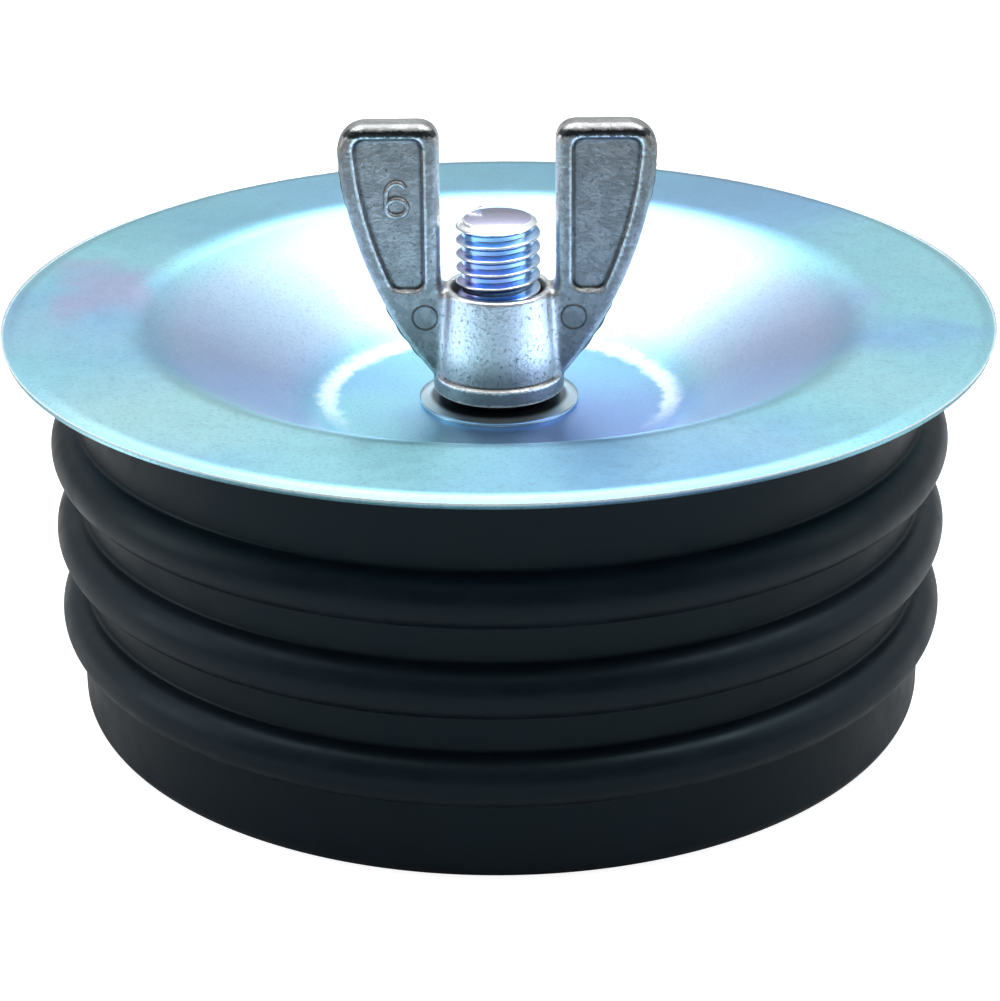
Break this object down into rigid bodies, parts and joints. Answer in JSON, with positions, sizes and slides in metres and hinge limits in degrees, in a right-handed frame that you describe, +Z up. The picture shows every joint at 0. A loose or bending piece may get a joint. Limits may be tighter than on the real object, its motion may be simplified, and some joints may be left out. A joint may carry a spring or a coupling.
{
  "type": "pipe expansion plug",
  "caption": "Mechanical pipe expansion plug: two dished steel plates squeeze a beaded rubber ring when the wing nut is tightened on the central carriage bolt.",
  "frame": {"origin": "on the bolt's axis, in the plane of the rubber's lower lip that the plug stands on", "axes": "+Z up the bolt's axis towards the wing nut, +X along the wings, -Y towards the viewer"},
  "size_m": [0.11, 0.11, 0.0666],
  "materials": {
    "plated_sheet": "bright zinc plated pressed steel with a blue-green passivated sheen",
    "plated_bolt": "bright zinc plated rolled thread, blue to violet sheen",
    "cast_zinc": "as-cast die-cast zinc, satin and slightly mottled",
    "rubber": "matt moulded black rubber"
  },
  "bodies": {
    "seal": {"rubber_ring": "rubber", "bottom_plate": "plated_sheet", "carriage_bolt": "plated_bolt"},
    "clamp": {"top_plate": "plated_sheet", "washer": "plated_sheet"},
    "nut": {"wing_nut": "cast_zinc"}
  },
  "joints": [
    {"name": "top_plate_press", "type": "slide", "parent": "seal", "child": "clamp", "axis": [0, 0, -1], "range_m": [0, 0.006], "deforming": ["rubber_ring"]},
    {"name": "wing_nut_turn", "type": "hinge", "parent": "clamp", "child": "nut", "pos_m": [0, 0, 0.0413], "axis": [0, 0, -1], "range_deg": [0, 1361]}
  ],
  "couplings": [
    {"joint": "wing_nut_turn", "follows": "top_plate_press", "rad_per_m": 3957.9}
  ]
}
